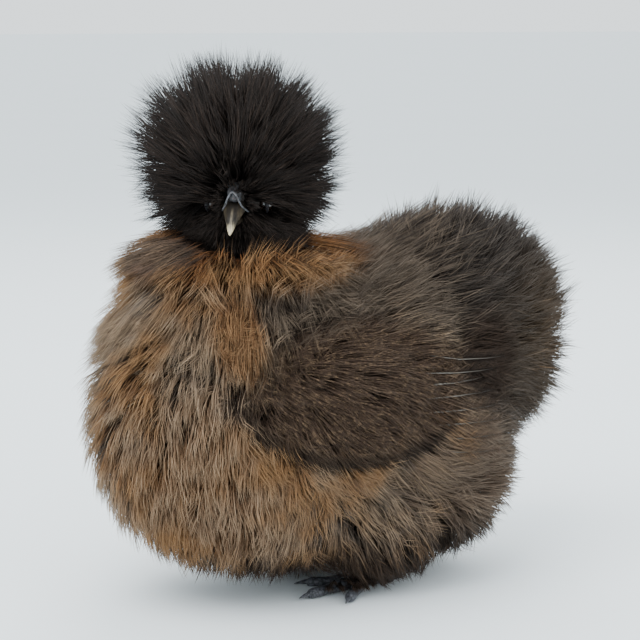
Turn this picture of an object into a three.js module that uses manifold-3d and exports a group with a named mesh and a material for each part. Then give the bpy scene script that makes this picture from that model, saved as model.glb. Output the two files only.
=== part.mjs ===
// A life-size silkie hen, standing with its head turned to its left, as a museum shows one.
// Millimetres. The bird faces -Y, its left side is +X, and it stands on the floor at z = 0.
// Each node of the coat has a core that reaches at most half way from the flesh to the tips,
// with flat tapered locks that rise from the core and lie along the coat out to the tips.
import * as THREE from "three";
import { mergeVertices } from "three/addons/utils/BufferGeometryUtils.js";
import Module from "manifold-3d";

// Driving dimensions of the bird
const coatWidth = 172;
const breastLength = 216;
const breastHeight = 200;
const breastClearance = 9;
const cushionWidth = 138;
const crestWidth = 126;
const skullWidth = 38;
const eyeDiameter = 10.4;
const beakLength = 26;
const headTurn = 52;
const headBow = 16;
const stanceWidth = 60;
const shankDiameter = 10;
const shankTop = 46;
const ankleHeight = 10;
const middleToeLength = 42;
const clawLength = 9;
const wingSlope = -14;
// How deep the coat is over its cores, and how far apart the nodes stand
const bodyCoat = 20;
const cushionCoat = 27;
const wingCoat = 8;
const thighCoat = 15;
const gap = 0.3;

const wasm = await Module();
wasm.setup();
const v = (x, y, z) => new THREE.Vector3(x, y, z);
const rad = THREE.MathUtils.degToRad;
const up = v(0, 0, 1);

// A seeded draw, so that every build gives the same bird
function seeded(seed) {
  let state = seed;
  return (low = 0, high = 1) => {
    state = (state + 0x6d2b79f5) >>> 0;
    let t = Math.imul(state ^ (state >>> 15), state | 1);
    t ^= t + Math.imul(t ^ (t >>> 7), t | 61);
    return low + (high - low) * (((t ^ (t >>> 14)) >>> 0) / 4294967296);
  };
}

// A three.js geometry as a solid, and a solid as a geometry
function solidOf(geometry) {
  const bare = geometry.clone();
  bare.deleteAttribute("normal");
  bare.deleteAttribute("uv");
  const merged = mergeVertices(bare, 1e-4);
  const vertProperties = merged.attributes.position.array;
  const triVerts = new Uint32Array(merged.index.array);
  return new wasm.Manifold(new wasm.Mesh({ numProp: 3, vertProperties, triVerts }));
}

function geometryOf(solid) {
  const mesh = solid.getMesh();
  return new THREE.BufferGeometry()
    .setAttribute("position", new THREE.BufferAttribute(mesh.vertProperties, 3))
    .setIndex(new THREE.BufferAttribute(mesh.triVerts, 1));
}

const union = (solids) => wasm.Manifold.union(solids);
const carve = (solid, others) => others.reduce((left, other) => left.subtract(other), solid);
// The solid with copies moved a little each way, for a neighbour to be cut back from
function swollen(solid, by) {
  const steps = [-by, by];
  const moves = [[0, 0, 0]];
  for (const step of steps) moves.push([step, 0, 0], [0, step, 0], [0, 0, step]);
  for (const x of steps) for (const y of steps) for (const z of steps) moves.push([x, y, z]);
  return wasm.Manifold.union(moves.map((move) => solid.translate(move)));
}

const largest = (solid) => solid.decompose().sort((a, b) => b.volume() - a.volume())[0];

// Moves every vertex of a geometry to the place that move gives for it.
function bend(geometry, move) {
  const points = geometry.getAttribute("position");
  for (let i = 0; i < points.count; i++) {
    const to = move(points.getX(i), points.getY(i), points.getZ(i));
    points.setXYZ(i, to.x, to.y, to.z);
  }
  return geometry;
}

// A rounded form: an ellipsoid, and with a power over 2 one that is fuller towards top and bottom
class Shell {
  constructor(centre, radii, power = 2, frame = new THREE.Matrix4()) {
    this.radii = radii;
    this.power = power;
    this.frame = frame.clone().multiply(new THREE.Matrix4().makeTranslation(centre));
    this.inverse = this.frame.clone().invert();
  }

  // 1 on the surface, less inside, more outside
  level(worldPoint) {
    const p = worldPoint.clone().applyMatrix4(this.inverse);
    const round = Math.hypot(p.x / this.radii.x, p.y / this.radii.y);
    const tall = Math.abs(p.z / this.radii.z);
    return (round ** this.power + tall ** this.power) ** (1 / this.power);
  }

  // The surface point on the ray from the centre through a world point, and its normal
  under(worldPoint) {
    const { radii, power } = this;
    const local = worldPoint.clone().applyMatrix4(this.inverse);
    local.divideScalar(this.level(worldPoint));
    const round = Math.max(1e-6, Math.hypot(local.x / radii.x, local.y / radii.y)) ** (power - 2);
    const normal = v(
      (round * local.x) / radii.x ** 2,
      (round * local.y) / radii.y ** 2,
      (Math.sign(local.z) * Math.abs(local.z / radii.z) ** (power - 1)) / radii.z,
    ).transformDirection(this.frame);
    return { point: local.applyMatrix4(this.frame), normal };
  }

  // The surface point in a direction of the shell's own frame
  towards(direction) {
    return this.under(direction.clone().applyMatrix4(this.frame));
  }

  // The same form with its coat cut back by depth all round
  inside(depth) {
    const smaller = new Shell(v(0, 0, 0), this.radii.clone().subScalar(depth), this.power);
    smaller.frame = this.frame;
    smaller.inverse = this.inverse;
    return smaller;
  }

  solid(detail, grow = 0) {
    const shell = this.inside(-grow);
    const ball = new THREE.IcosahedronGeometry(1, detail);
    return solidOf(bend(ball, (x, y, z) => shell.towards(v(x, y, z)).point));
  }
}

// The head's own frame: x forwards along the beak, y to the bird's left, z up through the crown
const forward = v(0, -Math.cos(rad(headBow)), -Math.sin(rad(headBow)));
forward.applyAxisAngle(up, rad(headTurn));
const leftward = v(1, 0, 0).applyAxisAngle(up, rad(headTurn));
const crownward = forward.clone().cross(leftward);
const headPlace = v(4, -59.5, 229.5);
const headFrame = new THREE.Matrix4()
  .makeBasis(forward, leftward, crownward)
  .setPosition(headPlace);

// The forms that the tips of the coat reach, and the cores inside them
const breastMiddle = v(0, -42, breastClearance + breastHeight / 2);
const breastTips = new Shell(breastMiddle, v(coatWidth / 2, breastLength / 2, breastHeight / 2), 2.25);
const bellyTips = new Shell(v(0, 46, 75), v(84, 70, 67), 2.5);
const saddleTips = new Shell(v(0, 26, 142), v(74, 62, 62), 2.2);
const cushionTips = new Shell(v(0, 90, 144), v(cushionWidth / 2, 71, 75), 2.2);
const capeTips = new Shell(v(-2, -60, 189), v(76, 72, 40), 2.2);
const crestTips = new Shell(v(-14, -4, 22), v(50, crestWidth / 2, 54), 2.2, headFrame);
const beardTips = new Shell(v(6, 5, -19), v(29, 37, 24), 2, headFrame);
const wingTilt = new THREE.Matrix4().makeRotationX(rad(wingSlope));
const wingTips = [1, -1].map((side) => {
  const place = wingTilt.clone().setPosition(side * 55, -25, 119);
  return new Shell(v(0, 0, 0), v(36, 66, 44), 2.3, place);
});
const thighTips = [1, -1].map((side) => new Shell(v(side * 40, 14, 50), v(38, 46, 46), 2.4));

const breastCore = new Shell(v(0, -42, 104), v(67, 89, 75), 2.25);
const bellyCore = bellyTips.inside(bodyCoat);
const saddleCore = saddleTips.inside(bodyCoat);
const cushionCore = cushionTips.inside(cushionCoat);
const neckCore = new Shell(v(-7, -50, 188), v(19, 19, 36), 2.4);
const capeCore = new Shell(v(-4, -58, 177), v(47, 44, 25), 2.2);
const crestCore = new Shell(v(-16, -3, 17), v(27, 38, 36), 2, headFrame);
const beardCore = new Shell(v(5, 3, -14), v(17, 23, 14), 2, headFrame);
const flightTips = [1, -1].map((side) => {
  const place = wingTilt.clone().setPosition(side * 54, -6, 119);
  return new Shell(v(0, 0, 0), v(34, 84, 38), 2.3, place);
});
const wingCore = wingTips.map((tips) => tips.inside(wingCoat));
const thighCore = thighTips.map((tips) => tips.inside(thighCoat));

// A lock or vane: a three-sided cone, flattened and bent along a curve, flat below and with a low
// ridge on the side of the normal. It is widest past its middle and comes to a point.
function lock(curve, normal, width, thickness, grow = 0) {
  const cone = new THREE.ConeGeometry(1, 1, 3, 2);
  const shaped = bend(cone, (x, y, z) => {
    const height = Math.min(1, Math.max(0, y + 0.5));
    const round = Math.max(1e-6, 1 - height);
    const t = height ** 0.75;
    const tangent = curve.getTangent(t);
    const side = tangent.clone().cross(normal).normalize();
    const out = side.clone().cross(tangent).normalize();
    const fullness = height === 0 ? 0.55 : 1;
    const across = (x / round) * ((width / 2) * fullness + 2 * grow);
    const through = (z / round) * ((thickness / 2) * fullness + 2 * grow);
    const place = curve.getPoint(t).addScaledVector(tangent, grow * (t > 0.5 ? 1 : -1));
    return height === 1 ? place : place.addScaledVector(side, across).addScaledVector(out, through);
  });
  return solidOf(shaped);
}

// Evenly spread directions over a whole sphere
function spread(count) {
  const golden = Math.PI * (3 - Math.sqrt(5));
  return Array.from({ length: count }, (_, i) => {
    const z = 1 - (2 * i + 1) / count;
    const r = Math.sqrt(1 - z * z);
    return v(r * Math.cos(golden * i), r * Math.sin(golden * i), z);
  });
}

// Directions in rings about the upright axis. A row gives its height from -1 to 1 and its count.
function rings(rows) {
  return rows.flatMap(([height, count], row) =>
    Array.from({ length: count }, (_, i) => {
      const turn = ((i + (row % 2) / 2) / count) * 2 * Math.PI;
      const r = Math.sqrt(1 - height * height);
      return v(r * Math.cos(turn), r * Math.sin(turn), height);
    }),
  );
}

// Directions in tiers over the outer side of a wing, each from its top edge to its lower edge.
// A row gives its place from -1 at the shoulder to 1 at the rear, and its count.
function tiers(side, rows) {
  return rows.flatMap(([along, count]) =>
    Array.from({ length: count }, (_, i) => {
      const turn = rad(THREE.MathUtils.lerp(72, -62, count > 1 ? i / (count - 1) : 0.5));
      const r = Math.sqrt(1 - along * along);
      return v(side * r * Math.cos(turn), along, r * Math.sin(turn));
    }),
  );
}

const nodes = new Map();

// Adds a node: its body, and the grown body that later nodes are cut back from
function addNode(name, colour, body, grown = body) {
  nodes.set(name, { body: largest(body), grown, colour });
}

const bodiesBut = (name) => [...nodes].filter(([other]) => other !== name).map(([, n]) => n.body);
const grownOf = (...names) => names.map((name) => nodes.get(name).grown);

function isClear(solid, others) {
  return others.every((other) => solid.intersect(other).volume() < 1e-6);
}

// Grows locks on a node. Each plan gives root, normal, tip and the lock's size; a lock that
// would cross another node is lifted, then shortened, and left out if it still crosses.
function grow(name, plans) {
  const node = nodes.get(name);
  const others = [...bodiesBut(name), ...(nodes.get(name).keepClear ?? [])];
  const locks = [];
  for (const plan of plans) {
    for (const [lift, shorten] of [[0, 1], [3, 0.9], [5, 0.72], [8, 0.55]]) {
      const { root, normal, tip, width, thickness, sink = 6, bulge = 5 } = plan;
      const end = root.clone().lerp(tip, shorten).addScaledVector(normal, lift);
      const middle = root.clone().lerp(end, 0.5).addScaledVector(normal, bulge + lift / 2);
      const start = root.clone().addScaledVector(normal, -sink);
      const curve = new THREE.QuadraticBezierCurve3(start, middle, end);
      if (isClear(lock(curve, normal, width, thickness, gap), others)) {
        locks.push(lock(curve, normal, width, thickness));
        break;
      }
    }
  }
  node.body = largest(union([node.body, ...locks]));
}

// Plans for locks over a core: their tips lie on the form around it, further along the lie
function plansOver(core, tips, directions, lie, size, seed) {
  const draw = seeded(seed);
  return directions.map((direction) => {
    const { point: root, normal } = core.towards(direction);
    const along = lie(root).applyAxisAngle(normal, draw(-0.2, 0.2)).projectOnPlane(normal);
    along.setLength(THREE.MathUtils.clamp(along.length(), 0.2, 1) * size.length * draw(0.85, 1.15));
    const aim = root.clone().add(along);
    const { point, normal: outward } = tips.under(aim);
    const tip = point.addScaledVector(outward, draw(-2, 1.5));
    return { ...size, root, normal, tip, width: size.width * draw(0.85, 1.15) };
  });
}

// Head
const onHead = (centre, radii) => new Shell(centre, radii, 2, headFrame);
const skull = new Shell(v(0, 0, 0), v(23, skullWidth / 2, 19), 2.2, headFrame);
const eyeRadii = v(1, 1, 1).multiplyScalar(eyeDiameter / 2);
const eyePlaces = [1, -1].map((side) => v(5, side * (skullWidth / 2 - 4), -3));
const eyeShells = eyePlaces.map((place) => onHead(place, eyeRadii));

function eyelid(place, grow = 0) {
  const ring = new THREE.TorusGeometry(eyeDiameter / 2 + 0.5, 1.3 + grow, 5, 12);
  ring.rotateX(Math.PI / 2);
  ring.scale(1.08, 1, 0.9);
  ring.translate(place.x, place.y + Math.sign(place.y) * 2.4, place.z);
  return solidOf(ring.applyMatrix4(headFrame));
}

const faceFront = onHead(v(14, 0, -1), v(11, 10.5, 11));
const lids = eyePlaces.map((place) => eyelid(place));
const lidsGrown = eyePlaces.map((place) => eyelid(place, 2 * gap));
const headWhole = union([skull.solid(3), faceFront.solid(2), ...lids]);
// The hollows in the coat that the eyes look out of, and the one before the beak and the comb
const eyeHollows = [1, -1].map((side) => onHead(v(12, side * 21, 0), v(12, 12, 10)));
const beakHollow = onHead(v(32, 0, 0), v(21, 11, 17));
const faceHollows = [...eyeHollows, beakHollow].map((hollow) => hollow.solid(1));
const headGrown = union([skull.solid(2, 3 * gap), faceFront.solid(2, 2 * gap), ...lidsGrown]);
const sockets = eyeShells.map((eye) => eye.solid(2, gap));

// Beak: two cones bent down to their tips, the upper one hooked over the lower
function beakHalf(start, length, top, bottom, halfWidth, grow = 0) {
  const cone = new THREE.ConeGeometry(1, 1, 10, 5);
  return solidOf(
    bend(cone, (x, y, z) => {
      const t = y + 0.5;
      const round = Math.max(1e-6, 1 - t);
      const high = top(t);
      const low = bottom(t);
      const across = (x / round) * (halfWidth(t) + grow);
      const tall = (-z / round) * ((high - low) / 2 + grow);
      const place = v(start + length * t + (t > 0.5 ? grow : -grow), 0, (high + low) / 2);
      place.add(t < 1 ? v(0, across, tall) : v(0, 0, -grow));
      return place.applyMatrix4(headFrame);
    }),
  );
}

const beakStart = 15;
const upperTop = (t) => 4.5 - 2 * t - 11.5 * t * t;
const upperBottom = (t) => -5.6 - 3.4 * t ** 3;
const upperWidth = (t) => 8.6 * (1 - t) ** 0.85 + 0.6 * t;
const lowerBottom = (t) => -11.5 + 3.5 * t;
const lowerWidth = (t) => 7 * (1 - t) ** 0.8 + 0.4 * t;
const upperBeak = (grow) => beakHalf(beakStart, beakLength, upperTop, upperBottom, upperWidth, grow);
const lowerBeak = (grow) =>
  beakHalf(beakStart, beakLength - 5, () => -5, lowerBottom, lowerWidth, grow);
const nostrilShells = [1, -1].map((side) => onHead(v(21.5, side * 6.8, 0.6), v(2.6, 1.6, 1)));
const nostrils = nostrilShells.map((shell) => shell.solid(1));

// Comb: a walnut cushion of small bulbs over the root of the beak
function combSolid(grow) {
  const bulbs = [];
  for (const [row, x] of [17.6, 21.8, 24.6].entries()) {
    for (const side of [-1, 0, 1]) {
      const size = 3.8 - 0.4 * row - 0.3 * Math.abs(side);
      const place = v(x - Math.abs(side), side * (3.1 - 0.4 * row), 13.4 - 3.8 * row);
      bulbs.push(onHead(place, v(size, size, size)).solid(1, grow));
    }
  }
  return union(bulbs);
}

const wattleShells = [1, -1].map((side) => onHead(v(14, side * 11.8, -9.5), v(5, 2.6, 4.4)));
const lobeShells = [1, -1].map((side) => onHead(v(-7, side * 18.4, -6), v(5.2, 2.4, 6)));

const eyeColour = 0x15100e;
addNode("eye_left", eyeColour, eyeShells[0].solid(2), sockets[0]);
addNode("eye_right", eyeColour, eyeShells[1].solid(2), sockets[1]);
addNode("head", 0x2b2a2e, carve(headWhole, sockets), headGrown);
const upperCut = carve(upperBeak(0), [...grownOf("head"), ...nostrils]);
addNode("beak_upper", 0x8d8677, upperCut, upperBeak(2 * gap));
const lowerCut = carve(lowerBeak(0), grownOf("head", "beak_upper"));
addNode("beak_lower", 0x7c7568, lowerCut, lowerBeak(2 * gap));
const beakGrown = grownOf("head", "beak_upper", "beak_lower");
addNode("comb", 0x55545c, carve(combSolid(0), beakGrown), combSolid(gap));
["left", "right"].forEach((side, i) => {
  const wattle = wattleShells[i];
  const lobe = lobeShells[i];
  addNode(`wattle_${side}`, 0x4c4a52, carve(wattle.solid(1), beakGrown), wattle.solid(1, gap));
  addNode(`earlobe_${side}`, 0x4f7f8c, carve(lobe.solid(1), beakGrown), lobe.solid(1, gap));
});

// The cores of the coat, each cut back from what it grows from and touches
function addCoat(name, colour, shells, detail = 2) {
  const others = [...nodes.values()].map((node) => node.grown);
  const onFace = name === "crest" || name === "beard";
  const whole = union(shells.map((shell) => shell.solid(detail)));
  const body = carve(whole, onFace ? [...others, ...faceHollows] : others);
  addNode(name, colour, body, union(shells.map((shell) => shell.solid(detail, gap))));
}

const coatColour = 0x5b4432;
addCoat("crest", 0x1e1918, [crestCore]);
addCoat("beard", 0x231d1c, [beardCore]);
addCoat("neck", 0x7a4520, [capeCore, neckCore]);
["left", "right"].forEach((side, i) => {
  addCoat(`wing_${side}`, 0x4c3a2d, [wingCore[i]]);
});
addCoat("tail", 0x3b332e, [cushionCore]);

// Legs: a feathered thigh, a scaled shank and a foot with five toes
function addLeg(side, i) {
  const sign = i === 0 ? 1 : -1;
  const ankle = v((sign * stanceWidth) / 2, 8, ankleHeight);
  const shankFoot = ankleHeight - 3;
  const shank = (extra) => {
    const radius = shankDiameter / 2 + extra;
    const tube = new THREE.CylinderGeometry(radius, radius, shankTop - shankFoot, 12);
    tube.rotateX(Math.PI / 2);
    tube.translate(ankle.x, ankle.y + 1, (shankTop + shankFoot) / 2);
    return solidOf(tube);
  };
  const toes = [
    { turn: 8, length: middleToeLength, root: 5.2 },
    { turn: -28, length: middleToeLength * 0.8, root: 4.8 },
    { turn: 42, length: middleToeLength * 0.84, root: 4.8 },
    { turn: 172, length: middleToeLength * 0.42, root: 4.2 },
    { turn: 214, length: middleToeLength * 0.52, root: 4, rise: 9 },
  ];
  const toe = ({ turn, length, root, rise = 0 }) => {
    const heading = v(0, -1, 0).applyAxisAngle(up, rad(sign * turn));
    const start = ankle.clone().setZ(root + 0.6);
    const joint = start.clone().addScaledVector(heading, length * 0.6).setZ(root * 0.8 + rise * 0.5);
    const end = start.clone().addScaledVector(heading, length).setZ(root * 0.5 + rise);
    const claw = end.clone().addScaledVector(heading, clawLength).setZ(1 + rise);
    const curve = new THREE.CatmullRomCurve3([start, joint, end, claw]);
    const cone = new THREE.ConeGeometry(1, 1, 6, 6);
    return solidOf(
      bend(cone, (x, y, z) => {
        const t = y + 0.5;
        const round = Math.max(1e-6, 1 - t);
        const tangent = curve.getTangent(t);
        const across = tangent.clone().cross(up).normalize();
        const out = across.clone().cross(tangent);
        const knuckle = 1 + 0.1 * Math.cos(t * 14);
        const toeSize = root * (1 - 0.35 * t) * knuckle;
        const clawSize = root * 0.55 * ((1 - t) / 0.22) ** 0.8;
        const size = (t < 0.78 ? toeSize : clawSize) / round;
        const place = curve.getPoint(t);
        if (t === 1) return place;
        return place.addScaledVector(across, x * size).addScaledVector(out, z * size);
      }),
    );
  };
  const ball = new Shell(ankle.clone().setZ(6.4), v(9, 10, 7.6), 2);
  const below = solidOf(new THREE.BoxGeometry(300, 300, 40).translate(0, 0, -20));
  const foot = union([ball.solid(1), ...toes.map(toe)]).subtract(below);
  addNode(`foot_${side}`, 0x34363d, foot, swollen(foot, gap));
  addNode(`shank_${side}`, 0x34363d, carve(shank(0), grownOf(`foot_${side}`)), shank(gap));
}

["left", "right"].forEach((side, i) => {
  addLeg(side, i);
  addCoat(`thigh_${side}`, coatColour, [thighCore[i]]);
});
addCoat("torso", coatColour, [breastCore, bellyCore, saddleCore]);

// The crest stands out all round from the crown and droops at its sides, clear of the face
const crestSize = { length: 13, width: 26, thickness: 3.6, bulge: 2 };
const inFace = (d) => d.z < -0.8 || (d.x > 0.55 && d.z < -0.05);
const droop = (root) => {
  const away = root.clone().applyMatrix4(crestCore.inverse).divide(crestCore.radii);
  const reach = Math.hypot(away.x, away.y);
  return v(away.x, away.y, -0.4 * reach).transformDirection(headFrame).multiplyScalar(1.2 * reach);
};
nodes.get("crest").keepClear = faceHollows;
nodes.get("beard").keepClear = faceHollows;
const overCrown = spread(76).filter((d) => !inFace(d));
grow("crest", plansOver(crestCore, crestTips, overCrown, droop, crestSize, 3));

// The beard fans out and down from under the beak, and back over the cheeks
const beardSize = { length: 9, width: 15, thickness: 3, bulge: 2, sink: 5 };
const beardFan = (root) => v(root.x + 7, root.y + 50, 0).setLength(1).setZ(-0.3);
const aroundChin = rings([[0.25, 9], [-0.15, 10], [-0.5, 8]]).filter((d) => d.x > -0.6);
grow("beard", plansOver(beardCore, beardTips, aroundChin, beardFan, beardSize, 5));

// The hackle hangs from the neck over the cape, which lies outward and down over the shoulders
const hackleSize = { length: 24, width: 21, thickness: 3.2, bulge: 4 };
const capeSize = { length: 26, width: 26, thickness: 3.4, bulge: 5 };
const capeFan = (root) => root.clone().sub(v(0, -52, 190)).normalize().add(v(0, 0, -0.5));
grow("neck", [
  ...plansOver(neckCore, capeTips, rings([[0.4, 9]]), capeFan, hackleSize, 7),
  ...plansOver(capeCore, capeTips, rings([[0.7, 11], [0.3, 13], [0, 13]]), capeFan, capeSize, 9),
]);

// On the torso the coat hangs down the breast, turns back along the flanks and runs back over
// the saddle, and behind the legs it lies back to the cushion
const torsoSize = { length: 34, width: 31, thickness: 3.8, bulge: 6 };
const saddleSize = { length: 30, width: 27, thickness: 3.6, bulge: 4 };
const torsoLie = (root) => {
  const rear = THREE.MathUtils.clamp((root.y + 80) / 110, 0, 1);
  return v(Math.sign(root.x) * 0.3 * (1 - rear), rear, -0.9 * (1 - rear) - 0.1);
};
grow("torso", [
  ...plansOver(breastCore, breastTips, spread(76), torsoLie, torsoSize, 23),
  ...plansOver(saddleCore, saddleTips, spread(38).filter((d) => d.z > 0), torsoLie, saddleSize, 29),
  ...plansOver(bellyCore, bellyTips, spread(52).filter((d) => d.y > -0.3), torsoLie, saddleSize, 31),
]);

// Vanes on the wings: coverts in tiers, then the flight feathers that reach back past them
const covertSize = { length: 30, width: 22, thickness: 2.6, bulge: 5, sink: 5 };
const flightSize = { length: 52, width: 18, thickness: 2.4, bulge: 6, sink: 5 };
const wingLie = () => v(0, 1, -0.3);
["left", "right"].forEach((side, i) => {
  const sign = i === 0 ? 1 : -1;
  const coverts = tiers(sign, [[-0.98, 2], [-0.8, 4], [-0.42, 5], [-0.05, 5]]);
  const flights = tiers(sign, [[0.35, 6], [0.7, 4]]);
  grow(`wing_${side}`, [
    ...plansOver(wingCore[i], wingTips[i], coverts, wingLie, covertSize, 11 + i),
    ...plansOver(wingCore[i], flightTips[i], flights, wingLie, flightSize, 13 + i),
  ]);
});

// The tail cushion stands up and back
const cushionSize = { length: 20, width: 27, thickness: 3.8, bulge: 4 };
const cushionLie = (root) => v(0.012 * root.x, 0.8, 0.45);
grow("tail", plansOver(cushionCore, cushionTips, spread(64), cushionLie, cushionSize, 17));

// The thighs' feathers hang down and back
const thighSize = { length: 24, width: 24, thickness: 3.6, bulge: 4 };
["left", "right"].forEach((side, i) => {
  const lie = () => v(0, 0.5, -1);
  grow(`thigh_${side}`, plansOver(thighCore[i], thighTips[i], spread(30), lie, thighSize, 19 + i));
});

const bird = new THREE.Group();
for (const [name, { body, colour }] of nodes) {
  const material = new THREE.MeshStandardMaterial({ color: colour, roughness: 0.9, metalness: 0 });
  const mesh = new THREE.Mesh(geometryOf(body), material);
  mesh.name = name;
  bird.add(mesh);
}
// The bird's footprint is centred on the origin
const footprint = new THREE.Box3().setFromObject(bird).getCenter(v(0, 0, 0));
bird.position.set(-footprint.x, -footprint.y, 0);
bird.updateMatrixWorld(true);
export default bird;
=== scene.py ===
# %% [markdown]
# A silkie hen, life size, as a museum model stands. The solid model comes in as a fixed frame and
# is measured, never moved. Everything that shows is made here: one skin for the flesh, the
# hair-like plumage as solid tapered strands in tufts, and the beak, comb, eyes and feet as
# pieces of their own.

# %% Load the frame
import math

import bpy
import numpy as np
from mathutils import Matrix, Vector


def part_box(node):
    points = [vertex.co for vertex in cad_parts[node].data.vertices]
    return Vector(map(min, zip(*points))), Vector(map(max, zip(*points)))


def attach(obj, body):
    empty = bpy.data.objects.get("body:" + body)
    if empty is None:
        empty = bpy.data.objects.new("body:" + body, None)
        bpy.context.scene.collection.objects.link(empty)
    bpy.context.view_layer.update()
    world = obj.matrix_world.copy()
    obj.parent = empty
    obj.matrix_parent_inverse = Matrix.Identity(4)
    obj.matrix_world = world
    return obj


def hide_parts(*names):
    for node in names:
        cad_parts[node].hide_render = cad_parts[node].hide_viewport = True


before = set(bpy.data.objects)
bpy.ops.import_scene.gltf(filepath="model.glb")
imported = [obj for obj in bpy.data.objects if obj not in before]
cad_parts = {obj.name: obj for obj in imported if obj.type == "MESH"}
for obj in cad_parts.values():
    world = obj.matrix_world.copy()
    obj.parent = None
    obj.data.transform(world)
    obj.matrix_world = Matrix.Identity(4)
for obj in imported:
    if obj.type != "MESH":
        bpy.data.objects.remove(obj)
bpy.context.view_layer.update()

# %% [markdown]
# The bird was designed in millimetres with its head at one known place. The two eyes of the
# frame tell where that place is now and how far the head is turned, so every other size below can
# be written as on the design and carried over. Working from the eyes was chosen over copying
# coordinates, because the head then stays right if the frame changes.

MM = 0.001
HEAD_BOW = math.radians(16)
EYE_IN_HEAD = Vector((5, 0, -3)) * MM
HEAD_DESIGN = Vector((4, -59.5, 229.5)) * MM


def middle(node):
    low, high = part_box(node)
    return (Vector(low) + Vector(high)) / 2


eye_left, eye_right = middle("eye_left"), middle("eye_right")
leftward = (eye_left - eye_right).normalized()
level_forward = Vector((leftward.y, -leftward.x, 0))
forward = level_forward * math.cos(HEAD_BOW) - Vector((0, 0, math.sin(HEAD_BOW)))
crownward = forward.cross(leftward)
head_axes = Matrix((forward, leftward, crownward)).transposed()
head_place = (eye_left + eye_right) / 2 - head_axes @ EYE_IN_HEAD
head_matrix = Matrix.Translation(head_place) @ head_axes.to_4x4()
shift = head_place - HEAD_DESIGN
print("head at", [round(c, 4) for c in head_place], "shift", [round(c, 4) for c in shift])


def deselect():
    bpy.ops.object.select_all(action="DESELECT")


deselect()

# %% [markdown]
# The camera stands at the bird's left front, a little above its back, with a long lens as for an
# animal portrait. The lens follows from how many millimetres of bird each pixel shows at the
# bird's distance.

# %% Camera
VIEW_TURN = math.radians(58)
VIEW_RISE = math.radians(9)
VIEW_DISTANCE = 1.1
MM_PER_PIXEL = 0.58
PICTURE_WIDTH = 640
SENSOR = 36
VIEW_TARGET = Vector((-1.855, -2.968, 153)) * MM


def direction(turn, rise):
    """The way to a place that is turned to the bird's left from its front, and raised"""
    level = math.cos(rise)
    return Vector((math.sin(turn) * level, -math.cos(turn) * level, math.sin(rise)))


toward_camera = direction(VIEW_TURN, VIEW_RISE)
bpy.ops.object.camera_add(
    location=shift + VIEW_TARGET + toward_camera * VIEW_DISTANCE,
    rotation=toward_camera.to_track_quat("Z", "Y").to_euler(),
)
camera = bpy.context.object
camera.data.sensor_width = SENSOR
camera.data.lens = SENSOR * VIEW_DISTANCE / (PICTURE_WIDTH * MM_PER_PIXEL * MM)
bpy.context.scene.camera = camera
print("lens", round(camera.data.lens, 1), "mm")

# %% [markdown]
# A material is built as a small network of nodes. To write its sums as ordinary Python, one class
# wraps a socket and overloads the operators, so that `1 - mask` adds a Math node. Every other node
# comes from one method that sets the node up and fills its sockets.

# %% Shader maths as expressions
NOISE_ROUGHNESS = 0.55


class Socket:
    """An output socket that can be used in sums"""

    def __init__(self, finish, socket):
        self.finish, self.socket = finish, socket

    def maths(self, operation, *values):
        settings = {"operation": operation}
        return self.finish.node("ShaderNodeMath", settings, dict(enumerate(values)))

    def __add__(self, other):
        return self.maths("ADD", self, other)

    def __sub__(self, other):
        return self.maths("SUBTRACT", self, other)

    def __rsub__(self, other):
        return self.maths("SUBTRACT", other, self)

    def __mul__(self, other):
        return self.maths("MULTIPLY", self, other)

    def __truediv__(self, other):
        return self.maths("DIVIDE", self, other)

    def __or__(self, other):
        """The larger of two values"""
        return self.maths("MAXIMUM", self, other)

    def __abs__(self):
        return self.maths("ABSOLUTE", self)

    __radd__ = __add__
    __rmul__ = __mul__


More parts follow.
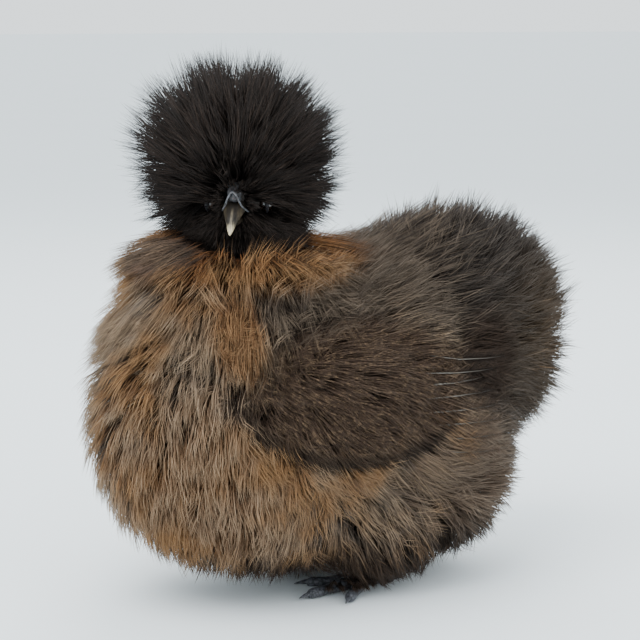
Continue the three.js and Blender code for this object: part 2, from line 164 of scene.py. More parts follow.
class Finish:
    """A material, its node tree and its Principled shader"""

    def __init__(self, name, constants):
        self.material = bpy.data.materials.new(name)
        self.material.use_nodes = True
        self.tree = self.material.node_tree
        self.shader = self.tree.nodes["Principled BSDF"]
        for socket, value in constants.items():
            self.shader.inputs[socket].default_value = value
        self.place = self.node("ShaderNodeTexCoord", {}, {}, "Object")

    def node(self, kind, settings, inputs, output=0):
        node = self.tree.nodes.new(kind)
        for name, value in settings.items():
            setattr(node, name, value)
        for key, value in inputs.items():
            if isinstance(value, Socket):
                self.tree.links.new(value.socket, node.inputs[key])
            else:
                node.inputs[key].default_value = value
        return Socket(self, node.outputs[output])

    def shade(self, socket, value):
        self.tree.links.new(value.socket, self.shader.inputs[socket])

    def vectors(self, operation, first, second, output=0):
        return self.node("ShaderNodeVectorMath", {"operation": operation}, {0: first, 1: second}, output)

    def carried(self, name):
        """A value that the points of the mesh carry"""
        return self.node("ShaderNodeAttribute", {"attribute_name": name}, {}, "Fac")

    def noise(self, scale, detail, where=None):
        inputs = {"Vector": where or self.place, "Scale": scale, "Detail": detail}
        return self.node("ShaderNodeTexNoise", {}, inputs | {"Roughness": NOISE_ROUGHNESS})

    def ease(self, value, low, high, out_low=0.0, out_high=1.0):
        inputs = {"Value": value, 1: low, 2: high, 3: out_low, 4: out_high}
        return self.node("ShaderNodeMapRange", {"interpolation_type": "SMOOTHSTEP"}, inputs)

    def mix(self, factor, first, second):
        def colour(value):
            return value if isinstance(value, Socket) else (*value, 1)

        inputs = {0: factor, 6: colour(first), 7: colour(second)}
        return self.node("ShaderNodeMix", {"data_type": "RGBA"}, inputs, 2)

    def scaled(self, colour, factor):
        """A colour made darker or lighter by a number that changes over the surface"""
        inputs = {0: colour, "Scale": factor}
        return self.node("ShaderNodeVectorMath", {"operation": "SCALE"}, inputs)

    def within(self, centre, radii, soft, ragged=None):
        """1 inside an ellipsoid and 0 outside it, over a soft edge that noise makes ragged"""
        away = self.vectors("SUBTRACT", self.place, tuple(centre))
        away = self.vectors("DIVIDE", away, tuple(radius * MM for radius in radii))
        reach = self.node("ShaderNodeVectorMath", {"operation": "LENGTH"}, {0: away}, "Value")
        if ragged is not None:
            reach = reach + ragged
        return self.ease(reach, 1 - soft, 1 + soft, 1.0, 0.0)

    def relief(self, height, strength, distance):
        inputs = {"Height": height, "Strength": strength, "Distance": distance}
        self.shade("Normal", self.node("ShaderNodeBump", {}, inputs))


def cover(finish, *pieces):
    for piece in pieces:
        piece.data.materials.append(finish)


# %% [markdown]
# The plumage is thought of as rounded forms. Each part of the bird has the form of its flesh and
# a larger one that the tips of its feathers reach. An ellipsoid with a power a little over 2 is
# fuller towards its top and bottom, as a fluffed bird is.

# %% Forms of flesh and plumage
def place(x, y, z):
    return np.array(shift) + np.array((x, y, z)) * MM


def in_head(x, y, z):
    return np.array(head_matrix @ (Vector((x, y, z)) * MM))


LONGEST_RAY = 0.3
HALVINGS = 18


class Form:
    """A rounded form with its centre, radii and axes, worked on many points at once"""

    def __init__(self, centre, radii, power=2.0, axes=None):
        self.centre = np.array(centre)
        self.radii = np.array(radii) * MM
        self.power = power
        self.axes = np.eye(3) if axes is None else np.array(axes)

    def local(self, points):
        return ((points - self.centre) @ self.axes) / self.radii

    def level(self, points):
        """1 on the surface, less inside, more outside"""
        p = self.local(points)
        around = np.hypot(p[:, 0], p[:, 1]) ** self.power
        return (around + np.abs(p[:, 2]) ** self.power) ** (1 / self.power)

    def hit(self, start, through):
        """Where the rays from a point inside, through other points, meet the surface"""
        way = unit(through - start)
        near, far = np.zeros((len(way), 1)), np.full((len(way), 1), LONGEST_RAY)
        for _ in range(HALVINGS):
            half = (near + far) / 2
            inside = self.level(start + way * half)[:, None] < 1
            near, far = np.where(inside, half, near), np.where(inside, far, half)
        return start + way * near

    def outward(self, points):
        p = self.local(points)
        slope = np.sign(p) * np.abs(p) ** (self.power - 1) / self.radii
        return unit(slope @ self.axes.T)


class Together(Form):
    """Several forms as one, with the surface that is outermost at each place"""

    def __init__(self, *forms):
        self.forms = forms
        self.centre = forms[0].centre

    def level(self, points):
        return np.min([form.level(points) for form in self.forms], axis=0)

    def outward(self, points):
        nearest = np.argmin([form.level(points) for form in self.forms], axis=0)
        ways = np.stack([form.outward(points) for form in self.forms])
        return ways[nearest, np.arange(len(points))]


def unit(vectors):
    return vectors / np.maximum(1e-9, np.linalg.norm(vectors, axis=-1, keepdims=True))


HEAD_AXES = np.array(head_axes)
WING_TILT = math.radians(-14)
wing_axes = np.array(Matrix.Rotation(WING_TILT, 3, "X"))
SIDES = {"left": 1, "right": -1}


def head_form(middle_point, radii, power=2.0):
    return Form(in_head(*middle_point), radii, power, HEAD_AXES)


tips = {
    "crest": head_form((-14, -4, 22), (50, 63, 54), 2.2),
    "beard": head_form((6, 5, -19), (29, 37, 24)),
    "cape": Form(place(-2, -60, 189), (76, 72, 40), 2.2),
    "breast": Form(place(0, -42, 109), (87, 109, 101), 2.25),
    "saddle": Form(place(0, 26, 142), (76, 64, 64), 2.2),
    "belly": Form(place(0, 46, 75), (85, 72, 69), 2.5),
    "cushion": Form(place(0, 90, 144), (71, 73, 77), 2.2),
}
flesh = {
    "head": head_form((-1, 0, 0), (21, 15, 17)),
    "knob": head_form((-7, 0, 12), (14, 15, 13)),
    "throat": head_form((3, 2, -12), (13, 15, 11)),
    "nape": head_form((-13, 0, -5), (13, 16, 15)),
    "neck": Form(place(-7, -50, 188), (17, 17, 36)),
    "shoulders": Form(place(-4, -58, 177), (45, 42, 23)),
    "chest": Form(place(0, -42, 104), (64, 86, 72)),
    "saddle": Form(place(0, 26, 142), (53, 41, 41)),
    "belly": Form(place(0, 46, 75), (62, 49, 46)),
    "rump": Form(place(0, 90, 144), (43, 45, 47)),
}
for side, sign in SIDES.items():
    tips[f"wing_{side}"] = Form(place(sign * 55, -25, 119), (37, 67, 45), 2.3, wing_axes)
    tips[f"thigh_{side}"] = Form(place(sign * 40, 14, 50), (38, 46, 46), 2.4)
    flesh[f"wing_{side}"] = Form(place(sign * 55, -25, 119), (26, 56, 34), 2.0, wing_axes)
    flesh[f"thigh_{side}"] = Form(place(sign * 40, 14, 50), (22, 30, 30))

# The down of the cheeks fills the waist between crest and beard, and the cape slopes more softly
# than its solid
cheeks = head_form((-6, -4, -5), (30, 60, 27))
sloping_cape = Form(place(-2, -60, 187), (75, 73, 36), 1.55)
head_tips = Together(tips["crest"], tips["beard"], cheeks)
body_forms = [form for name, form in tips.items() if name not in ("crest", "beard", "cape")]
body_tips = Together(*body_forms, sloping_cape)

# %% [markdown]
# A plucked bird is one smooth skin over breast, rump, wings and legs. It could be sculpted, but
# balls joined and remeshed into one closed surface give the same flowing joins, and the balls are
# the flesh forms above, so the skin and the feathers agree. It stands for all the nodes of flesh,
# and no seam shows where they meet.

# %% Skin
SKIN_VOXEL = 3 * MM
SKIN_SMOOTHING = {"factor": 0.6, "iterations": 8}


def ball(form, segments=32, rings=16):
    bpy.ops.mesh.primitive_uv_sphere_add(segments=segments, ring_count=rings, radius=1)
    made = bpy.context.object
    made.matrix_world = (
        Matrix.Translation(form.centre)
        @ Matrix(form.axes.tolist()).to_4x4()
        @ Matrix.Diagonal((*form.radii, 1))
    )
    bpy.ops.object.transform_apply(location=True, rotation=True, scale=True)
    return made


def choose(*pieces):
    """Selects only these, the first of them active"""
    deselect()
    for piece in pieces:
        piece.select_set(True)
    bpy.context.view_layer.objects.active = pieces[0]


def joined(pieces, name):
    choose(*pieces)
    bpy.ops.object.join()
    pieces[0].name = pieces[0].data.name = name
    return pieces[0]


def modify(piece, kind, **settings):
    choose(piece)
    modifier = piece.modifiers.new(kind.title(), kind)
    for name, value in settings.items():
        setattr(modifier, name, value)
    bpy.ops.object.modifier_apply(modifier=modifier.name)
    return piece


skin = joined([ball(form) for form in flesh.values()], "skin")
modify(skin, "REMESH", mode="VOXEL", voxel_size=SKIN_VOXEL)
modify(skin, "SMOOTH", **SKIN_SMOOTHING)
bpy.ops.object.shade_smooth()
print("skin faces", len(skin.data.polygons))

# %% [markdown]
# Feathers grow from the skin, so their roots are drawn on its surface, each triangle getting its
# share by its area. A seeded draw gives the same bird each run. Which part a root belongs to is
# told by the flesh form whose surface it lies on.

# %% Roots on the skin
ROOT_DRAWS = 90000
draw = np.random.default_rng(4)


def roots_on(piece, count):
    mesh = piece.data
    mesh.calc_loop_triangles()
    points = np.empty(len(mesh.vertices) * 3)
    mesh.vertices.foreach_get("co", points)
    points = points.reshape(-1, 3)
    corners = np.empty(len(mesh.loop_triangles) * 3, int)
    mesh.loop_triangles.foreach_get("vertices", corners)
    a, b, c = (points[corners.reshape(-1, 3)[:, i]] for i in range(3))
    across = np.cross(b - a, c - a)
    area = np.linalg.norm(across, axis=1)
    chosen = draw.choice(len(area), count, p=area / area.sum())
    u, w = draw.random((2, count, 1))
    flip = u + w > 1
    u, w = np.where(flip, 1 - u, u), np.where(flip, 1 - w, w)
    root = a[chosen] * (1 - u - w) + b[chosen] * u + c[chosen] * w
    return root, unit(across[chosen])


all_roots, all_normals = roots_on(skin, ROOT_DRAWS)
names = list(flesh)
levels = np.stack([flesh[name].level(all_roots) for name in names])
part_of = np.array(names)[levels.argmin(0)]
print({name: int((part_of == name).sum()) for name in names})

# %% [markdown]
# A silkie's feather has barbs that don't hook together, so it looks like a tuft of fine hair. Each
# tuft here is a dozen strands from one root. A strand is a closed, three-sided, tapering body bent
# along a curve: it rises from the skin, turns into the lie of the coat and ends in a point. Hair
# curves would be lost in the exported model, so the strands are real mesh, made in arrays because
# there are over a hundred thousand. Each point carries how far along its strand it is, a tone of
# its tuft, a fleck of its strand, and whether its part of the coat is black all over.

# %% Strands
# Where the rings of a strand are along it, and how wide each is
BENT = ((0.0, 0.75), (0.4, 1.0), (0.75, 0.6))
STRAIGHT = ((0.0, 0.7), (0.66, 1.0))
RING_TURNS = np.radians((90, 210, 330))
# How deep a tuft and a strand are, where 1 is as deep as wide
TUFT_DEPTH = 0.45
STRAND_DEPTH = 0.7
WIDTH_RANGE = (0.75, 1.25)
WAVE_TURN = math.pi * 1.3
SIDE_SCATTER = 0.05
TIP_SCATTER = 0.5 * MM
FLOOR_ROOM = 1.2 * MM
# How much of the map's width one tuft takes
PATCH = 0.003


def strand_faces(count, rings):
    """The triangles of count strands with some rings and a tip"""
    faces = [(0, 2, 1)]
    for low in range(0, 3 * rings - 3, 3):
        for i in range(3):
            j = (i + 1) % 3
            faces += [(low + i, low + j, low + 3 + j), (low + i, low + 3 + j, low + 3 + i)]
    last = 3 * rings - 3
    faces += [(last + i, last + (i + 1) % 3, last + 3) for i in range(3)]
    points = 3 * rings + 1
    return (np.array(faces)[None] + points * np.arange(count)[:, None, None]).reshape(-1, 3)


def mesh_of(name, points, faces):
    mesh = bpy.data.meshes.new(name)
    mesh.vertices.add(len(points))
    mesh.vertices.foreach_set("co", points.ravel())
    mesh.loops.add(faces.size)
    mesh.loops.foreach_set("vertex_index", faces.ravel())
    mesh.polygons.add(len(faces))
    mesh.polygons.foreach_set("loop_start", np.arange(0, faces.size, 3))
    mesh.polygons.foreach_set("use_smooth", np.ones(len(faces), bool))
    mesh.update(calc_edges=True)
    piece = bpy.data.objects.new(name, mesh)
    bpy.context.collection.objects.link(piece)
    return piece


def bow(start, over, end, t):
    """Where the curves from start, drawn over a point, to end are at t"""
    return (1 - t) ** 2 * start + 2 * t * (1 - t) * over + t**2 * end


def bow_way(start, over, end, t):
    return unit(2 * (1 - t) * (over - start) + 2 * t * (end - over))


def strands(
    name, root, bend, tip, out, width, around, count=12, fan=(2.2, 3.0), curl=1.0, stray=0.1,
    form=BENT, dark=0.0
):
    """Tufts of count strands, each from a root over a bend to a tip, as one mesh"""
    ring_at, ring_width = np.array(form).T
    rings = len(ring_at)
    points_each = 3 * rings + 1
    tufts = len(root)
    total = tufts * count

    def each(values):
        return np.repeat(values, count, axis=0)

    tone = each(draw.random(tufts))
    fleck = draw.random(total)
    root, bend, tip, out = each(root), each(bend), each(tip), each(out)
    side = unit(np.cross(unit(tip - bend), out) + draw.normal(0, SIDE_SCATTER, (total, 3)))
    turn = draw.random(total) * 2 * math.pi
    away = np.sqrt(draw.random(total)) * MM
    spread = (side.T * np.cos(turn) + out.T * np.sin(turn) * TUFT_DEPTH).T * away[:, None]
    long = 1 - np.abs(draw.normal(0, stray, total))[:, None]
    start = root + spread * fan[0]
    end = root + (tip - root) * long + spread * fan[1] + draw.normal(0, TIP_SCATTER, (total, 3))
    turned = bend + spread * (fan[0] + fan[1]) * 0.5
    wave = draw.normal(0, curl * MM, (total, 3))
    t = ring_at[None, :, None]
    course = start[:, None], turned[:, None], end[:, None]
    centre = bow(*course, t) + wave[:, None] * np.sin(WAVE_TURN * t)
    centre[:, :, 2] = np.maximum(centre[:, :, 2], FLOOR_ROOM)
    end[:, 2] = np.maximum(end[:, 2], FLOOR_ROOM)
    along = bow_way(*course, t)
    cross = unit(np.cross(along, out[:, None]))
    up = np.cross(cross, along)
    thick = (width * draw.uniform(*WIDTH_RANGE, total) * MM / 2)[:, None, None, None]
    rims = ring_width[None, :, None, None] * thick
    turns_out = np.sin(RING_TURNS)[None, None, :, None] * STRAND_DEPTH
    turns_side = np.cos(RING_TURNS)[None, None, :, None]
    rounds = centre[:, :, None] + rims * (turns_side * cross[:, :, None] + turns_out * up[:, :, None])
    points = np.concatenate([rounds.reshape(total, -1, 3), end[:, None]], axis=1).reshape(-1, 3)
    faces = strand_faces(total, rings)
    piece = mesh_of(name, points, faces)
    carried = {
        "along": np.tile(np.append(np.repeat(ring_at, 3), 1.0), total),
        "tone": np.repeat(tone, points_each),
        "fleck": np.repeat(fleck, points_each),
        "dark": np.full(len(points), dark),
    }
    for label, values in carried.items():
        piece.data.attributes.new(label, "FLOAT", "POINT").data.foreach_set("value", values)
    # The map for the colours has each tuft as a small patch, placed by where its root is round the
    # part's middle
    towards = unit(root - np.array(around))
    u = 0.5 + np.arctan2(towards[:, 1], towards[:, 0]) / (2 * math.pi)
    v = 0.5 + np.arcsin(np.clip(towards[:, 2], -1, 1)) / math.pi
    u = np.repeat(u * (1 - PATCH) + fleck * PATCH, points_each)
    v = np.repeat(v * (1 - PATCH), points_each) + carried["along"] * PATCH
    uv = np.stack([u, v], axis=1)[faces.ravel()]
    piece.data.uv_layers.new(name="OFBake").data.foreach_set("uv", uv.ravel())
    print(name, tufts, "tufts", len(faces), "triangles")
    return piece


# %% [markdown]
# The lie of the coat is one direction for each root. The crest stands out all round, the cape
# falls outward over the shoulders, the breast hangs down and parts to its sides, the flanks sweep
# back and up under the wings, and the cushion stands up and back.

# %% Lie of the coat
BEAK_ROOT = (26, 0, 2)
FACE_REACH = (14 * MM, 40 * MM)
# Between which two places, in the design, one lie goes over into the next
BREAST_TO_FLANK = (-70, -15)
FLANK_TO_REAR = (20, 80)
FLANK_RISES = (40, 75)
CUSHION_RISES = (110, 150)
WING_SLANTS = (120, 152)
WING_SWEEPS_UP = (84, 96)


def rows(x, y, z, like):
    return np.stack([np.broadcast_to(c, like.shape[:1]) for c in (x, y, z)], axis=1).astype(float)


def blend(a, b, amount):
    return a * (1 - amount[:, None]) + b * amount[:, None]


def ramp(values, low, high):
    t = np.clip((values - low) / (high - low), 0, 1)
    return t * t * (3 - 2 * t)


def design(points):
    """Points in the design's own millimetres"""
    return (points - np.array(shift)) / MM


def from_beak(p, root):
    """Away from the root of the beak, strongly near it and weakly at the back of the head"""
    away = root - in_head(*BEAK_ROOT)
    return unit(away) * (1.0 - 0.7 * ramp(np.linalg.norm(away, axis=1), *FACE_REACH))[:, None]


def cape_lie(p, root):
    x, y, z = p.T
    return unit(rows(x + 3, y + 55, 0, p)) + rows(0, 0, -0.9, p)


def hackle_lie(p, root):
    return rows(0, 0, -0.3, p)


def breast_lie(p, root):
    x, y, z = p.T
    down = rows(x * 0.009, -0.15, -1, p)
    return blend(down, rows(0, 1, 0.25, p), ramp(y + 0.4 * (z - 120), *BREAST_TO_FLANK))


def flank_lie(p, root):
    x, y, z = p.T
    level = rows(np.sign(x) * 0.15, 1, -0.1, p)
    sweep = blend(rows(0, 1, 0.3, p), level, ramp(y, *FLANK_TO_REAR))
    return blend(rows(0, 0.55, -0.9, p), sweep, ramp(z, *FLANK_RISES))


def saddle_lie(p, root):
    return rows(p[:, 0] * 0.004, 1, 0.1, p)


def cushion_lie(p, root):
    lift = ramp(p[:, 2], *CUSHION_RISES)
    return rows(p[:, 0] * 0.012, 0.7, 0, p) + rows(0, 0, 1, p) * (lift * 1.1 - 0.45)[:, None]


def wing_lie(p, root):
    slant = blend(rows(0, 1, -0.7, p), rows(0, 1, -0.05, p), ramp(p[:, 2], *WING_SLANTS))
    return blend(rows(0, 1, 0.35, p), slant, ramp(p[:, 2], *WING_SWEEPS_UP))


def thigh_lie(p, root):
    return rows(0, 0.45, -1, p)


# %% [markdown]
# Feathers stay short round the eyes and the beak, so the face looks out of a hollow in the down.
# Strands keep out of these hollows, and near them they grow shorter.

# %% Where nothing grows
face_hollows = [head_form((15, sign * 18.5, -2), (14, 8, 7.5)) for sign in SIDES.values()]
face_hollows.append(head_form((34, 0, 0), (23, 8, 13.5)))
FACE_SHORTEST = 0.3
FLOOR_CLEARANCE = 1.5 * MM
LONGEST_FEATHER = 68 * MM
GRID_CELLS = (0.5 * MM, 15 * MM)
LEAST_FLOW = 0.15
LENGTH_RANGE = (0.8, 1.15)
# How far along a feather it bends over
BEND_ALONG = 0.4
ANY_LIFT = 90
# The cape stays clear of the crest and the beard
head_room = [head_form((-14, -4, 22), (46, 59, 50), 2.2), head_form((9, 5, -20), (34, 40, 28))]


def clear_of(forms, *points):
    keep = np.ones(len(points[0]), bool)
    for form in forms:
        for p in points:
            keep &= form.level(p) > 1
    return keep


def tufts_for(
    parts, tip_form, lie, length, keep, want, inner, rise=0.75, hollows=(), short=None, spray=2.5,
    proud=0.0, lift=ANY_LIFT, loose=0.12
):
    """Root, bend, tip and way out of up to want tufts for a part of the coat"""
    mine = np.isin(part_of, parts) & keep(design(all_roots))
    root, normal = all_roots[mine], all_normals[mine]
    flow = lie(design(root), root) + draw.normal(0, loose, root.shape)
    flow = flow - normal * (flow * normal).sum(1, keepdims=True)
    strength = np.clip(np.linalg.norm(flow, axis=1, keepdims=True), LEAST_FLOW, 1)
    reach = length * MM * draw.uniform(*LENGTH_RANGE, (len(root), 1))
    tip = tip_form.hit(inner, root + unit(flow) * strength * reach)
    out = tip_form.outward(tip)
    tip = tip + out * (draw.normal(proud, spray, (len(root), 1)) * MM)
    over = tip_form.hit(inner, root + unit(flow) * strength * reach * BEND_ALONG)
    bend = root + (over - root) * rise
    if short is not None:
        size = short(root)[:, None]
        tip, bend = root + (tip - root) * size, root + (bend - root) * size
    # Where the curve of the feather is at a half and at three quarters of its length
    half = (root + 2 * bend + tip) / 4
    near_tip = (root + 6 * bend + 9 * tip) / 16
    good = clear_of(hollows, half, near_tip, tip) & (np.minimum(tip, half)[:, 2] > FLOOR_CLEARANCE)
    good &= np.linalg.norm(tip - root, axis=1) < LONGEST_FEATHER
    good = np.flatnonzero(good & (tip[:, 2] < root[:, 2] + lift * MM))
    picks = good[spaced(root[good], want)]
    return root[picks], bend[picks], tip[picks], out[picks]


def face_short(root):
    """Shorter towards the eyes and the beak"""
    near = np.min([form.level(root) for form in face_hollows], axis=0)
    return FACE_SHORTEST + (1 - FACE_SHORTEST) * ramp(near, 1.0, 1.3)


def spaced(points, want):
    """Picks about want of the points, one to each cell of a grid, so that no places crowd"""
    small, large = GRID_CELLS
    for _ in range(HALVINGS):
        cell = (small + large) / 2
        picks = np.unique(np.floor(points / cell), axis=0, return_index=True)[1]
        small, large = (cell, large) if len(picks) > want else (small, cell)
    return picks[:want]


# %% [markdown]
# The coat is grown part by part, each under two hundred thousand triangles. A part has its tufts
# placed first, on some of the flesh and between some heights or lengths of the bird, and then its
# strands grown from them.

# %% Coat
ALONG, UP = 1, 2
CREST_FOOT = 214
BEARD_HEIGHTS = (196, 228)
HACKLE_HEIGHTS = (184, 210)
BREAST_END = 0
FLANK_START = -12
SADDLE_START = -14
SADDLE_FOOT = 120
# What the tufts of the face, and those of the breast and flanks, have in common, and the strands of
# black down
FACIAL = {"rise": 0.5, "hollows": face_hollows, "short": face_short, "loose": 0.3}
COVERT = {"rise": 0.75, "spray": 1.7, "loose": 0.2}
BLACK_DOWN = {"form": STRAIGHT, "dark": 1.0}
coats = []


def between(axis, low, high=math.inf):
    return lambda p: (p[:, axis] > low) & (p[:, axis] < high)


def on_saddle(p):
    return between(UP, SADDLE_FOOT)(p) & between(ALONG, SADDLE_START)(p)


everywhere = between(UP, -math.inf)


def coat(name, nodes, slot, tufts, width, around, **look):
    coats.append((strands(name, *tufts, width, around, **look), slot, nodes))


crest_tufts = tufts_for(
    ("head", "knob", "nape"), head_tips, from_beak, 14, between(UP, CREST_FOOT), 1600,
    inner=in_head(-8, -1, 8), spray=2.4, proud=3.6, **FACIAL,
)
coat(
    "crest_down", ["crest"], "crest_down", crest_tufts, 0.54, head_place,
    fan=(1.5, 6.0), curl=1.5, stray=0.16, **BLACK_DOWN,
)

beard_tufts = tufts_for(
    ("head", "throat", "neck", "nape"), head_tips, from_beak, 8, between(UP, *BEARD_HEIGHTS), 1250,
    inner=in_head(-4, 0, -3), spray=2.2, proud=1.8, **FACIAL,
)
coat(
    "beard_down", ["beard"], "beard_down", beard_tufts, 0.52, head_place,
    fan=(1.5, 5.0), curl=1.3, stray=0.18, **BLACK_DOWN,
)

hackle_tufts = tufts_for(
    ("neck",), body_tips, hackle_lie, 26, between(UP, *HACKLE_HEIGHTS), 240, rise=0.7,
    inner=place(-5, -55, 198), hollows=head_room, lift=6,
)
coat("hackle_down", [], "hackle_down", hackle_tufts, 0.56, place(-5, -55, 180), fan=(2.4, 6.0), curl=1.3)

cape_tufts = tufts_for(
    ("neck", "shoulders"), body_tips, cape_lie, 34, everywhere, 800, rise=0.7, inner=tips["cape"].centre,
    hollows=head_room, spray=2.2, lift=2, loose=0.25,
)
coat("cape_down", [], "hackle_down", cape_tufts, 0.56, place(-4, -58, 170), fan=(2.6, 6.0), curl=1.4)

breast_tufts = tufts_for(
    ("chest",), body_tips, breast_lie, 28, between(ALONG, -math.inf, BREAST_END), 1030,
    inner=tips["breast"].centre, **COVERT,
)
coat("breast_down", [], "body_down", breast_tufts, 0.64, tips["breast"].centre, fan=(3.0, 6.5), curl=1.5)

flank_tufts = tufts_for(
    ("belly", "chest"), body_tips, flank_lie, 30, between(ALONG, FLANK_START), 860,
    inner=tips["belly"].centre, **COVERT,
)
coat("flank_down", [], "body_down", flank_tufts, 0.66, tips["belly"].centre, fan=(3.0, 6.5), curl=1.5)

saddle_tufts = tufts_for(
    ("saddle", "chest"), body_tips, saddle_lie, 28, on_saddle, 480, rise=0.75,
    inner=tips["saddle"].centre, spray=2.0, loose=0.25,
)
coat("saddle_down", [], "body_down", saddle_tufts, 0.6, tips["saddle"].centre, fan=(2.8, 6.0), curl=1.4)

cushion_tufts = tufts_for(
    ("rump",), body_tips, cushion_lie, 14, everywhere, 1490, rise=0.6, inner=tips["cushion"].centre,
    spray=3.6, proud=1.2, loose=0.35,
)
coat(
    "cushion_down", ["tail"], "cushion_down", cushion_tufts, 0.52, tips["cushion"].centre,
    fan=(2.5, 6.5), curl=2.0, stray=0.2, form=STRAIGHT,
)

wing_middles = {}
for side, sign in SIDES.items():
    wing_middles[side] = place(sign * 45, -25, 119)
    wing_tufts = tufts_for(
        (f"wing_{side}",), body_tips, wing_lie, 22, everywhere, 560, rise=0.8,
        inner=tips[f"wing_{side}"].centre, spray=1.2, loose=0.25,
    )
    coat(
        f"wing_down_{side}", [f"wing_{side}"], "wing_down", wing_tufts, 0.54, wing_middles[side],
        fan=(2.8, 5.5), curl=1.0,
    )
    thigh_middle = tips[f"thigh_{side}"].centre
    thigh_tufts = tufts_for(
        (f"thigh_{side}",), body_tips, thigh_lie, 24, everywhere, 150, rise=0.8, inner=thigh_middle,
    )
    coat(
        f"thigh_down_{side}", [], "body_down", thigh_tufts, 0.7, thigh_middle, fan=(2.5, 5.0), curl=1.2,
    )

# %% [markdown]
# The flight feathers reach back from under the down of the wing. Each is a shaft with barbs to both
# sides, and as the barbs of this breed don't hook together, the vanes are frayed.

# %% Flight feathers
QUILLS = 8
BARBS = 44
BARB_LENGTH = 10
BARB_RANGE = (0.6, 1.15)
# Root, middle and end of the top quill in the design, the step to the next, and how proud they lie
QUILL_PATH = ((74, 22, 140), (76, 52, 136), (72, 78, 137))
QUILL_STEPS = ((0, -1, -7.5), (0, -1.5, -7), (0, -3, -7))
QUILL_PROUD = (-5, 0.8, 2.0)
UNDER_BACK = place(0, 20, 112)
SINGLE = {"count": 1, "fan": (0, 0.3), "curl": 0.2, "stray": 0.02}


def quill_points(sign):
    """The roots, middles and ends of the quills of one wing, laid on the coat"""
    row = np.arange(QUILLS)[:, None]
    mirror = np.array((sign, 1, 1))
    for first, step, proud in zip(QUILL_PATH, QUILL_STEPS, QUILL_PROUD):
        points = place(0, 0, 0) + (np.array(first) * mirror + row * np.array(step)) * MM
        surface = body_tips.hit(UNDER_BACK, points)
        yield surface + body_tips.outward(surface) * proud * MM


shafts = {}
for side, sign in SIDES.items():
    start, over, end = quill_points(sign)
    t = np.linspace(0.2, 0.98, BARBS)[None, :, None]
    course = start[:, None], over[:, None], end[:, None]
    roots = bow(*course, t).reshape(-1, 3)
    ahead = bow_way(*course, t).reshape(-1, 3)
    outs = body_tips.outward(roots)
    across = unit(np.cross(ahead, outs))
    fade = np.tile(1 - np.linspace(0, 1, BARBS) ** 3 * 0.6, QUILLS)[:, None]
    bends, barb_tips = [], []
    for way in (1, -1):
        length = BARB_LENGTH * MM * fade * draw.uniform(*BARB_RANGE, (len(roots), 1))
        line = unit(ahead + way * across * draw.uniform(0.6, 1.0, (len(roots), 1)))
        barb_tips.append(roots + line * length + outs * draw.normal(0, 0.6 * MM, (len(roots), 1)))
        bends.append(roots + (way * across * 0.35 + ahead * 0.3) * length)
    shafts[side] = strands(
        f"quill_shafts_{side}", start, over, end, body_tips.outward(end), 1.1, wing_middles[side], **SINGLE
    )
    barbs = [np.concatenate(both) for both in ([roots, roots], bends, barb_tips, [outs, outs])]
    coat(f"flight_feathers_{side}", [], "wing_down", barbs, 0.42, wing_middles[side], **SINGLE)

# %% [markdown]
# One set of markings serves the skin and the whole coat. It is painted by place on the bird: black
# crest and beard, rust-gold cape, brown breast, dark pencilled wings, grey-brown back and
# cushion. Grey patches on the body are the grey of the down and painted sheen where tufts bulge to
# the light. Painted shade darkens a band along the lower edge of each wing, the pocket behind it
# and the bottom of the bird. Along each strand the colour runs from a dark root to a paler tip.

# %% Markings
BLACK_BROWN = (0.009, 0.0065, 0.0055)
SOOT = (0.018, 0.0135, 0.0115)
BEARD_TIP = (0.042, 0.032, 0.027)
BROWN_TIP = (0.038, 0.026, 0.020)
RUST_ROOT = (0.040, 0.020, 0.011)
RUST = (0.175, 0.072, 0.026)
GOLD = (0.34, 0.195, 0.088)
BREAST = (0.140, 0.092, 0.060)
BUFF = (0.40, 0.285, 0.185)
BREAST_RUST = (0.22, 0.108, 0.045)
# Grey of the down, and painted sheen where tufts bulge towards the light
GREY_DOWN_AND_SHEEN = (0.135, 0.110, 0.090)
WING = (0.066, 0.042, 0.029)
WING_FLECK = (0.25, 0.165, 0.095)
FLANK = (0.135, 0.093, 0.066)
BACK = (0.046, 0.034, 0.026)
SMOKE = (0.072, 0.060, 0.052)
CUSHION = (0.016, 0.012, 0.010)
CUSHION_OLIVE = (0.075, 0.050, 0.028)
# Painted shade: the dark brown of the hollows under and behind the wings, and of the bird's bottom by the
# floor
PAINTED_SHADE_BROWN = (0.028, 0.019, 0.014)
DULL_BUFF = (0.165, 0.125, 0.090)
DULL_GREY = (0.075, 0.062, 0.053)
SHAFT_ROOT = (0.16, 0.145, 0.125)
SHAFT_TIP = (0.055, 0.045, 0.036)
# Each area of colour or of painted shade: its middle on the design's left side, its half sizes,
# how soft its edge is
AREAS = {
    "low_rust": ((60, -120, 60), (60, 60, 60), 0.4),
    "rear": ((0, 80, 70), (120, 90, 80), 0.3),
    "back": ((0, 45, 186), (92, 86, 64), 0.25),
    "cushion": ((0, 104, 150), (84, 74, 84), 0.16),
    "olive": ((40, 130, 140), (60, 50, 45), 0.5),
    "shoulder": ((62, -38, 172), (50, 58, 24), 0.3),
    # Painted shade in the hollow behind each wing
    "shaded_pocket": ((62, 66, 133), (50, 20, 27), 0.4),
    "wing": ((68, -25, 125), (60, 68, 38), 0.1),
    # Painted shade: a band along the lower edge of each wing, the first area less the second
    "wing_shade_band": ((68, -25, 124), (60, 73, 44), 0.06),
    "above_wing_shade_band": ((68, -22, 127), (60, 68, 38), 0.08),
    "trail": ((70, -95, 166), (24, 15, 30), 0.3),
    # Painted shade at the bottom of the bird, by the floor
    "under": ((0, 20, 0), (120, 150, 46), 0.3),
    "cape": ((-2, -68, 202), (96, 76, 27), 0.14),
    "cape_side": ((52, -46, 196), (44, 40, 30), 0.4),
    "smoky": ((-6, -108, 196), (34, 26, 15), 0.3),
}
# The same for the head, with the middles as in its own axes
BEARD_AREA = ((4, 3, -14), (38, 38, 27), 0.12)
CREST_AREA = ((-14, -3, 28), (66, 74, 54), 0.1)


